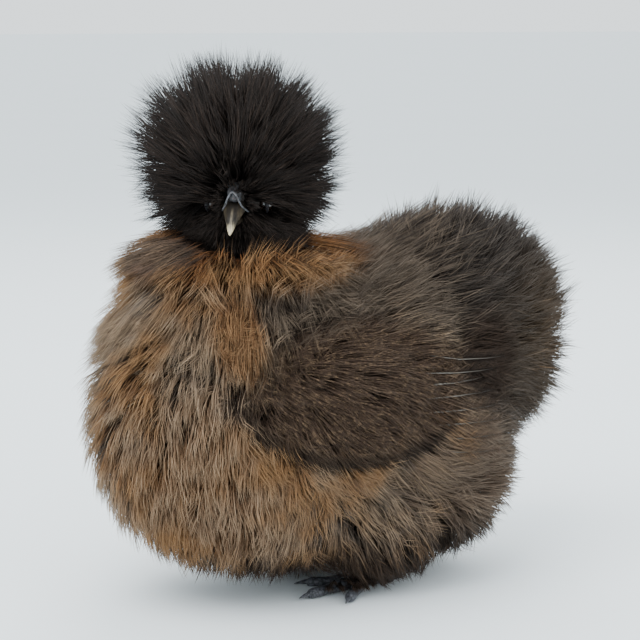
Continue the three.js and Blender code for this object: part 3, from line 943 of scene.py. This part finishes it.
def markings(f, along, tone, fleck, own_dark):
    """The colour of the plumage, by place, and from root to tip"""
    broad = f.noise(22, 3)
    patches = f.noise(60, 4)
    ragged = (broad - 0.5) * 0.5 + (fleck - 0.5) * 0.25

    def area(name, sign=1, edge=ragged):
        (x, y, z), half_sizes, soft = AREAS[name]
        return f.within(place(sign * x, y, z), half_sizes, soft, edge)

    def head_area(middle_point, half_sizes, soft, edge):
        return f.within(in_head(*middle_point), half_sizes, soft, edge)

    # Grey patches over the body: the grey of the down, and painted sheen on tufts that bulge to the light
    body = f.mix(f.ease(patches, 0.42, 0.62), BREAST, GREY_DOWN_AND_SHEEN)
    body = f.mix(f.ease(broad, 0.50, 0.66) * 0.8, body, BREAST_RUST)
    tip = f.mix(f.ease(broad, 0.45, 0.7), BUFF, GOLD)
    body = f.mix(area("low_rust") * 0.6, body, BREAST_RUST)
    rear, back, cushion = area("rear"), area("back"), area("cushion")
    body = f.mix(back, f.mix(rear, body, FLANK), BACK)
    body = f.mix(cushion, body, f.mix(area("olive"), CUSHION, CUSHION_OLIVE))
    tip = f.mix(f.ease(cushion + back + rear, 0.2, 1.0), tip, f.mix(cushion, DULL_BUFF, DULL_GREY))
    pencilled = f.mix(f.ease(f.noise(420, 2), 0.47, 0.62), WING, WING_FLECK)
    for sign in SIDES.values():
        shoulder, shaded_pocket = area("shoulder", sign), area("shaded_pocket", sign)
        body, tip = f.mix(shoulder, body, BACK), f.mix(shoulder * 0.9, tip, DULL_BUFF)
        # Painted shade in the pocket behind the wing
        body, tip = f.mix(shaded_pocket, body, PAINTED_SHADE_BROWN), f.mix(shaded_pocket * 0.9, tip, WING)
        wing, trail = area("wing", sign), area("trail", sign)
        body, tip = f.mix(wing, body, WING), f.mix(wing, tip, pencilled)
        # Painted shade in a band along the lower edge of the wing, where it overhangs the flank
        wing_shade_band = area("wing_shade_band", sign, ragged * 0.5) * (1 - area("above_wing_shade_band", sign, ragged * 0.5))
        body, tip = f.mix(wing_shade_band, body, PAINTED_SHADE_BROWN), f.mix(wing_shade_band * 0.85, tip, PAINTED_SHADE_BROWN)
        body, tip = f.mix(trail * 0.8, body, RUST), f.mix(trail * 0.8, tip, GOLD)
    under, cape, smoky = area("under"), area("cape"), area("smoky")
    # Painted shade at the bottom of the bird, by the floor
    body, tip = f.mix(under, body, PAINTED_SHADE_BROWN), f.mix(under, tip, WING)
    rust = f.mix(f.ease(patches + fleck * 0.3, 0.55, 0.75), RUST_ROOT, RUST)
    golden = f.ease(broad, 0.42, 0.62) + area("cape_side", 1) + area("cape_side", -1)
    golden = f.ease(golden, 0.0, 1.0)
    body, tip = f.mix(cape, body, rust), f.mix(cape, tip, f.mix(golden, RUST, GOLD))
    # The smoky front's tips take the same grey, with its painted sheen
    body, tip = f.mix(smoky * 0.8, body, SMOKE), f.mix(smoky * 0.65, tip, GREY_DOWN_AND_SHEEN)
    beard = head_area(*BEARD_AREA, ragged * 0.6)
    dark = beard | head_area(*CREST_AREA, ragged * 0.3) | own_dark
    sooty = f.mix(f.ease(fleck, 0.65, 0.9), f.mix(beard, SOOT, BEARD_TIP), BROWN_TIP)
    body, tip = f.mix(dark, body, BLACK_BROWN), f.mix(dark, tip, sooty)
    paler = f.ease(along, 0.35, 1.0) * (0.25 + fleck * 0.75)
    colour = f.mix(paler, body, tip)
    return f.scaled(colour, f.ease(along, 0.0, 0.65, 0.5, 1.0) * (0.68 + tone * 0.2 + fleck * 0.3))


def plumage():
    f = Finish("plumage", {"Roughness": 0.55, "Specular IOR Level": 0.12})
    f.shade("Base Color", markings(f, *(f.carried(name) for name in ("along", "tone", "fleck", "dark"))))
    return f.material


def bare_skin():
    f = Finish("skin", {"Roughness": 0.8})
    here = f.noise(300, 2)
    # The skin takes the coat's colour as at three quarters along a strand, lighter than the roots, so that
    # gaps in the coat show brown: painted light in place of their deep shade
    f.shade("Base Color", markings(f, 0.75, here, here, 0.0))
    f.relief(f.noise(900, 3), 0.3, 0.0006)
    return f.material


def quill_horn():
    f = Finish("quill_horn", {"Roughness": 0.45, "Specular IOR Level": 0.3})
    colour = f.mix(f.ease(f.carried("along"), 0.1, 0.9), SHAFT_ROOT, SHAFT_TIP)
    f.shade("Base Color", f.scaled(colour, f.ease(f.noise(500, 2), 0.3, 0.7, 0.8, 1.2)))
    return f.material


feather_finish = plumage()
cover(bare_skin(), skin)
cover(quill_horn(), *shafts.values())

# %% [markdown]
# The beak is two curved cones, the upper hooked over the lower. Each starts as a ring that is
# extruded forward and scaled at every step, which keeps its sides clean, and the last ring is
# merged to a point. The same way of working makes the toes, claws and shanks.

# %% Lofting along the x axis
def loft(name, stations, matrix, sides=16):
    """stations are (x, y, z, half width, half height) in millimetres, from root to tip"""
    x, y, z, half_width, half_height = (value * MM for value in stations[0])
    deselect()
    bpy.ops.mesh.primitive_circle_add(
        vertices=sides, radius=1, fill_type="NGON", location=(x, y, z), rotation=(0, math.pi / 2, 0)
    )
    made = bpy.context.object
    bpy.ops.object.transform_apply(location=True, rotation=True, scale=False)
    bpy.ops.object.mode_set(mode="EDIT")
    bpy.ops.mesh.select_all(action="SELECT")
    here = Vector((x, y, z))
    bpy.ops.transform.resize(value=(1, half_width, half_height), center_override=here)
    for station in stations[1:]:
        x, y, z, width, height = (value * MM for value in station)
        there = Vector((x, y, z))
        grown = (1, width / half_width, height / half_height)
        bpy.ops.mesh.extrude_region_move(TRANSFORM_OT_translate={"value": there - here})
        bpy.ops.transform.resize(value=grown, center_override=there)
        here, half_width, half_height = there, width, height
    bpy.ops.mesh.merge(type="CENTER")
    bpy.ops.mesh.select_all(action="SELECT")
    bpy.ops.mesh.normals_make_consistent(inside=False)
    bpy.ops.object.mode_set(mode="OBJECT")
    made.matrix_world = matrix
    bpy.ops.object.transform_apply(location=True, rotation=True, scale=True)
    made.name = made.data.name = name
    modify(made, "SUBSURF", levels=1, render_levels=1)
    bpy.ops.object.shade_smooth()
    return made


# %% Beak
BEAK_START = 13
BEAK_LENGTH = 28
BEAK_STEPS = 11


def beak_stations(length, top, bottom, half_width):
    """Rings from the outlines, each a formula of t, which is 0 at the root and 1 at the tip"""
    stations = []
    for i in range(BEAK_STEPS + 1):
        t = i / BEAK_STEPS
        high, low = top(t), bottom(t)
        x = BEAK_START + length * t
        stations.append((x, 0, (high + low) / 2, half_width(t), max(0.2, (high - low) / 2)))
    return stations


upper_beak = loft(
    "beak_upper_horn",
    beak_stations(
        BEAK_LENGTH,
        lambda t: 4.6 - 1.6 * t - 11.8 * t * t,
        lambda t: -5.4 - 3.8 * t**3,
        lambda t: 8.1 * (1 - t) ** 0.95 + 0.45,
    ),
    head_matrix,
)
lower_beak = loft(
    "beak_lower_horn",
    beak_stations(
        BEAK_LENGTH - 6,
        lambda t: -4.8 - 0.6 * t,
        lambda t: -10.4 + 3.2 * t,
        lambda t: 6.6 * (1 - t) ** 0.75 + 0.3,
    ),
    head_matrix,
)


def head_coordinate(f, axis):
    """How far a point lies along one axis of the head, in millimetres"""
    away = f.vectors("SUBTRACT", f.place, tuple(head_place))
    return f.vectors("DOT_PRODUCT", away, tuple(axis), "Value") / MM


HORN_DARK = (0.016, 0.013, 0.010)
HORN_KHAKI = (0.105, 0.080, 0.048)
# Painted highlight along the ridge of the beak
HORN_RIDGE_HIGHLIGHT = (0.20, 0.165, 0.11)
HORN_IVORY = (0.50, 0.42, 0.27)


def horn():
    f = Finish("beak_horn", {"Roughness": 0.42, "Specular IOR Level": 0.3})
    ahead, side, up = (head_coordinate(f, axis) for axis in (forward, leftward, crownward))
    aside = abs(side)
    stretched = f.node("ShaderNodeCombineXYZ", {}, {0: ahead * 0.12, 1: side * 1.5, 2: up * 0.7})
    streaks = f.noise(1.0, 4, stretched)
    # Painted highlight: a paler stripe along the middle of the beak towards its tip, on the ridge where
    # light falls
    ridge_highlight = f.ease(aside + streaks, 0.6, 1.6, 1.0, 0.0) * f.ease(ahead, 24, 30)
    khaki = f.ease(aside + streaks * 2, 3.0, 6.5) * f.ease(ahead, 20, 30)
    ivory = f.ease(ahead + streaks * 4, 35, 42)
    colour = f.mix(khaki * 0.8, HORN_DARK, HORN_KHAKI)
    colour = f.mix(ivory, f.mix(ridge_highlight * 0.5, colour, HORN_RIDGE_HIGHLIGHT), HORN_IVORY)
    f.shade("Base Color", f.scaled(colour, f.ease(streaks, 0.3, 0.7, 0.6, 1.25)))
    f.relief(streaks, 0.3, 0.0004)
    return f.material


cover(horn(), upper_beak, lower_beak)

# %% [markdown]
# The comb of a silkie is a small walnut of fleshy bulbs, and a greyer rim of skin runs from it round
# the nostrils to the corners of the beak. The bulbs are balls pressed together by a remesh, and so
# are the wattles and lobes. The rim and the lids are bent tubes.

# %% Comb, rim, wattles, lobes
COMB_ROWS = (17.8, 20.6, 22.2)
COMB_TOP = 11
COMB_ROW_DROP = 2.6
BULB_RADIUS = 2.9
BULB_VARIES = 0.4
COMB_VOXEL = 0.5 * MM
SOFT_VOXEL = 0.6 * MM
# The middles of the balls on the left side, in the axes of the head, and their radii
WATTLE_BALLS = (((14, 11.6, -9.5), 2.7), ((15.5, 11.2, -11.5), 2.3), ((12.5, 11.8, -8), 2.2))
LOBE_BALLS = (((-7, 18, -4), 3.4), ((-7, 18.2, -8), 3.2), ((-8, 18, -6), 3.6))


def lumps(name, places, voxel, sign=1):
    balls = [ball(head_form((x, sign * y, z), (r, r, r * 0.9)), 16, 8) for (x, y, z), r in places]
    made = joined(balls, name)
    modify(made, "REMESH", mode="VOXEL", voxel_size=voxel)
    modify(made, "SMOOTH", factor=0.5, iterations=3)
    bpy.ops.object.shade_smooth()
    return made


bulbs = []
for row, x in enumerate(COMB_ROWS):
    for side in (-1, 0, 1):
        radius = BULB_RADIUS - 0.3 * row - 0.3 * abs(side) + draw.uniform(-BULB_VARIES, BULB_VARIES)
        y = side * (2.5 - 0.3 * row) + 0.6
        bulbs.append(((x - abs(side), y, COMB_TOP - COMB_ROW_DROP * row), radius))
soft_parts = {"comb": lumps("comb_flesh", bulbs, COMB_VOXEL)}
for side, sign in SIDES.items():
    for name, balls in (("wattle", WATTLE_BALLS), ("earlobe", LOBE_BALLS)):
        soft_parts[f"{name}_{side}"] = lumps(f"{name}_flesh_{side}", balls, SOFT_VOXEL, sign)


def tube(name, points, radius):
    curve = bpy.data.curves.new(name, "CURVE")
    curve.dimensions = "3D"
    spline = curve.splines.new("NURBS")
    spline.points.add(len(points) - 1)
    for point, at in zip(spline.points, points):
        point.co = (*in_head(*at), 1)
    spline.use_endpoint_u = True
    spline.order_u = 4
    curve.bevel_depth = radius * MM
    curve.bevel_resolution = 4
    curve.use_fill_caps = True
    made = bpy.data.objects.new(name, curve)
    bpy.context.collection.objects.link(made)
    choose(made)
    bpy.ops.object.convert(target="MESH")
    bpy.ops.object.shade_smooth()
    return bpy.context.object


half_rim = [
    (14, 8.9, -7.5), (17, 8.1, -4.6), (20.3, 6.9, -1.9), (22.4, 5.3, 0.4), (23.4, 4.0, 3.0),
    (24.0, 2.8, 7.0), (23.2, 0.9, 10.0),
]
rim = tube("beak_rim", half_rim + [(x, -y, z) for x, y, z in reversed(half_rim)], 0.55)


def flesh_finish(name, dark, pale, fine):
    f = Finish(name, {"Roughness": 0.5, "Specular IOR Level": 0.3, "Subsurface Weight": 0.05})
    cells = f.node("ShaderNodeTexVoronoi", {}, {"Vector": f.place, "Scale": fine}, "Distance")
    folds = f.noise(fine * 0.7, 4)
    f.shade("Base Color", f.mix(f.ease(folds + cells * 0.3, 0.35, 0.85), dark, pale))
    f.relief(folds + cells * 0.6, 0.5, 0.0005)
    return f.material


comb_finish = flesh_finish("comb_skin", (0.008, 0.0078, 0.0085), (0.050, 0.048, 0.052), 700)
lobe_finish = flesh_finish("lobe_skin", (0.03, 0.10, 0.13), (0.10, 0.30, 0.34), 600)
cover(flesh_finish("rim_skin", (0.020, 0.019, 0.021), (0.13, 0.126, 0.134), 900), rim)
for name, piece in soft_parts.items():
    cover(lobe_finish if "lobe" in name else comb_finish, piece)

# %% [markdown]
# The eyes are near black and wet. Each is a glossy ball with a darker pupil, and a soft fold of
# slate skin lies round it as its lids.

# %% Eyes and lids
EYE_RADIUS = 5.5
PUPIL_PLACE = (6, 20, -3)
PUPIL_RADIUS = 3.0
LID_ROOM = 0.3
LID_STEPS = 12
# How wide and how high the opening of the lids is, next to the eye
LID_WIDE, LID_HIGH = 1.06, 0.82
LID_OUT = 16.2
LID_BULGE = 0.6
LID_RADIUS = 1.15


def eye_finish():
    f = Finish("eye_gloss", {"Roughness": 0.06, "Coat Weight": 1.0})
    x, y, z = PUPIL_PLACE
    left, right = (f.within(in_head(x, sign * y, z), [PUPIL_RADIUS] * 3, 0.15) for sign in SIDES.values())
    iris = f.mix(f.noise(1500, 2), (0.006, 0.004, 0.003), (0.02, 0.011, 0.007))
    f.shade("Base Color", f.mix(left | right, iris, (0.002, 0.002, 0.002)))
    return f.material


eyes, lids = {}, {}
for side, sign in SIDES.items():
    eye = ball(Form(middle(f"eye_{side}"), (EYE_RADIUS,) * 3, 2.0, HEAD_AXES), 40, 24)
    eye.name = eye.data.name = f"eyeball_{side}"
    bpy.ops.object.shade_smooth()
    eyes[side] = eye
    lid_points = []
    for i in range(LID_STEPS + 1):
        turn = 2 * math.pi * i / LID_STEPS
        x = EYE_IN_HEAD.x / MM + LID_WIDE * (EYE_RADIUS + LID_ROOM) * math.cos(turn)
        z = EYE_IN_HEAD.z / MM + LID_HIGH * (EYE_RADIUS + LID_ROOM) * math.sin(turn)
        lid_points.append((x, sign * (LID_OUT + LID_BULGE * math.cos(2 * turn)), z))
    lids[side] = tube(f"eyelids_{side}", lid_points, LID_RADIUS)
cover(eye_finish(), *eyes.values())
cover(flesh_finish("lid_skin", (0.010, 0.009, 0.010), (0.030, 0.028, 0.032), 900), *lids.values())

# %% [markdown]
# A silkie has five toes, the fifth turned up behind, and slate-black scaled skin. Each toe is
# lofted with a swelling at every joint and small steps for the scales, and ends in a horn claw.

# %% Feet
ANKLE = (30, 8)
# Of each toe: its turn outward, length, half thickness and how far its end is raised
TOES = (
    (8, 42, 5.2, 0), (-28, 33.6, 4.8, 0), (42, 35.3, 4.8, 0), (172, 17.6, 4.2, 0), (214, 21.8, 4.0, 9),
)
TOE_TAPER = 0.35
SCALE_STEPS = 14
SCALE_STEP = 0.05
CLAW_STEPS = 6
CLAW_LENGTH = 10.5
CLAW_OVERLAP = 2
SHANK_FOOT, SHANK_TOP = 3, 48
SHANK_STEPS = 16
SHANK_RADIUS = 5.2


def toe_stations(length, thick, rise):
    for i in range(SCALE_STEPS + 1):
        t = i / SCALE_STEPS
        swelling = 0.92 + 0.1 * math.cos(t * SCALE_STEPS)
        half = thick * (1 - TOE_TAPER * t) * swelling * (1 + SCALE_STEP * (i % 2))
        height = max(half * 0.86 + 0.1, thick * 0.9 - thick * TOE_TAPER * t) + rise * t
        yield (length * t, 0, height, half, half * 0.85)
    yield (length + 1, 0, height, 1.2, 1.2)


def claw_stations(length, rise, toe_height):
    for i in range(CLAW_STEPS + 1):
        t = i / CLAW_STEPS
        z = toe_height + 0.6 - (toe_height - 1.3 - rise) * t * t
        x = length - CLAW_OVERLAP + CLAW_LENGTH * t
        yield (x, 0, z, 1.9 * (1 - t) + 0.15, 1.8 * (1 - t) + 0.15)


def shank_stations():
    for i in range(SHANK_STEPS + 1):
        radius = SHANK_RADIUS * (1 + 0.04 * (i % 2))
        yield (SHANK_FOOT + (SHANK_TOP - SHANK_FOOT) * i / SHANK_STEPS, 0, 0, radius, radius)
    yield (SHANK_TOP + 1, 0, 0, 4, 4)


feet = {}
for side, sign in SIDES.items():
    pieces = []
    ankle = Vector(place(sign * ANKLE[0], ANKLE[1], 0))
    for turn, length, thick, rise in TOES:
        heading = Matrix.Rotation(math.radians(-90 + sign * turn), 4, "Z")
        matrix = Matrix.Translation(ankle) @ heading
        toe = list(toe_stations(length, thick, rise))
        pieces.append(loft(f"toe_{side}", toe, matrix, 12))
        pieces.append(loft(f"claw_{side}", list(claw_stations(length, rise, toe[-1][2])), matrix, 12))
    upright = Matrix.Translation(ankle) @ Matrix.Rotation(-math.pi / 2, 4, "Y")
    pieces.append(loft(f"shank_{side}", list(shank_stations()), upright, 14))
    pad = Form(np.array(ankle) + np.array((0, 0, 6.2)) * MM, (9, 10, 6.1))
    pieces.append(ball(pad, 24, 12))
    feet[side] = joined(pieces, f"foot_flesh_{side}")
    bpy.ops.object.shade_smooth()


def scaled_skin():
    f = Finish("leg_scale", {"Roughness": 0.45})
    settings, inputs = {"feature": "DISTANCE_TO_EDGE"}, {"Vector": f.place, "Scale": 420}
    plate = f.ease(f.node("ShaderNodeTexVoronoi", settings, inputs, "Distance"), 0.02, 0.16)
    f.shade("Base Color", f.mix(plate, (0.018, 0.019, 0.024), (0.075, 0.078, 0.09)))
    f.relief(plate, 0.6, 0.0006)
    return f.material


cover(scaled_skin(), *feet.values())

# %% [markdown]
# Down grows on the outer side of the shanks and on the outer toes, and lies out over the floor.

# %% Down on the feet
FOOT_DRAWS = 9000
FOOT_TUFTS = 120
FOOT_LENGTH = 13
FOOT_TIP_HEIGHT = 4.2 * MM
FOOT_BEND_HEIGHT = 5 * MM
DOWN_HEIGHTS = (6, 44)
DOWN_FRONT = -22

for side, sign in SIDES.items():
    root, normal = roots_on(feet[side], FOOT_DRAWS)
    p = design(root)
    feathered = (p[:, 0] - sign * ANKLE[0]) * sign > -2
    feathered &= between(ALONG, DOWN_FRONT)(p) & between(UP, *DOWN_HEIGHTS)(p) & (normal[:, 2] > -0.2)
    root, normal = root[feathered], normal[feathered]
    picks = spaced(root, FOOT_TUFTS)
    root, normal = root[picks], normal[picks]
    sweep = unit(rows(sign * 0.9, -0.25, -0.55, root) + draw.normal(0, 0.2, root.shape))
    tip = root + normal * 3 * MM + sweep * FOOT_LENGTH * MM * draw.uniform(0.7, 1.1, (len(root), 1))
    bend = root + normal * 4 * MM + sweep * 4 * MM
    tip[:, 2] = np.maximum(tip[:, 2], FOOT_TIP_HEIGHT)
    bend[:, 2] = np.maximum(bend[:, 2], FOOT_BEND_HEIGHT)
    coat(
        f"foot_down_{side}", [], "body_down", (root, bend, tip, normal), 0.55,
        place(sign * ANKLE[0], ANKLE[1], 15), fan=(0.7, 1.6), curl=0.5, form=STRAIGHT,
    )

# %% [markdown]
# Every piece rides on the one body of this still model, and the nodes of the frame that it stands
# for are hidden.

# %% Pieces onto the frame
cover(feather_finish, *(piece for piece, slot, nodes in coats))
pieces = [(skin, "face_skin", ["torso", "neck", "head", "thigh_left", "thigh_right"])]
pieces += coats
pieces += [(upper_beak, "beak_horn", ["beak_upper"]), (lower_beak, "beak_horn", ["beak_lower"])]
pieces += [(eyes[side], "eye_gloss", [f"eye_{side}"]) for side in SIDES]
for name, piece in soft_parts.items():
    pieces.append((piece, "lobe_skin" if "lobe" in name else "comb_skin", [name]))
for side in SIDES:
    pieces.append((shafts[side], "wing_down", []))
    pieces.append((feet[side], "leg_scale", [f"foot_{side}", f"shank_{side}"]))
pieces += [(piece, "comb_skin", []) for piece in (rim, *lids.values())]
for piece, slot, nodes in pieces:
    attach(piece, "root")
    if nodes:
        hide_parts(*nodes)

# %% [markdown]
# The model stands on a plain pale floor in soft studio light: a large lamp high on the camera's
# left, a weaker one on its right, one from behind that catches the fine tips, and a bright, even
# surround.

# %% Floor and light
FLOOR_SIZE = 80
FLOOR_TONES = ((0.87, 0.93, 0.955), (0.89, 0.95, 0.975))
SURROUND = (0.90, 0.965, 1.0, 1)
SURROUND_STRENGTH = 1.75
LAMP_AIM = Vector(place(0, 0, 130))

bpy.ops.mesh.primitive_plane_add(size=FLOOR_SIZE, location=(0, 0, 0))
floor = bpy.context.object
floor.name = "floor"
ground = Finish("floor", {"Roughness": 0.9})
ground.shade("Base Color", ground.mix(ground.noise(3, 2), *FLOOR_TONES))
cover(ground.material, floor)

world = bpy.data.worlds.new("surround")
bpy.context.scene.world = world
world.use_nodes = True
surround = world.node_tree.nodes["Background"]
surround.inputs["Color"].default_value = SURROUND
surround.inputs["Strength"].default_value = SURROUND_STRENGTH


def lamp(name, turn, rise, distance, width, watts):
    """A square lamp turned from the camera's side, aimed at the bird's middle"""
    towards = direction(VIEW_TURN + math.radians(turn), math.radians(rise))
    facing = towards.to_track_quat("Z", "Y").to_euler()
    bpy.ops.object.light_add(type="AREA", location=LAMP_AIM + towards * distance, rotation=facing)
    light = bpy.context.object
    light.name = name
    light.data.size = width
    light.data.energy = watts


lamp("key", -35, 55, 1.6, 1.2, 25)
lamp("fill", 50, 25, 1.8, 1.4, 8)
lamp("rim", 170, 50, 1.7, 1.2, 16)
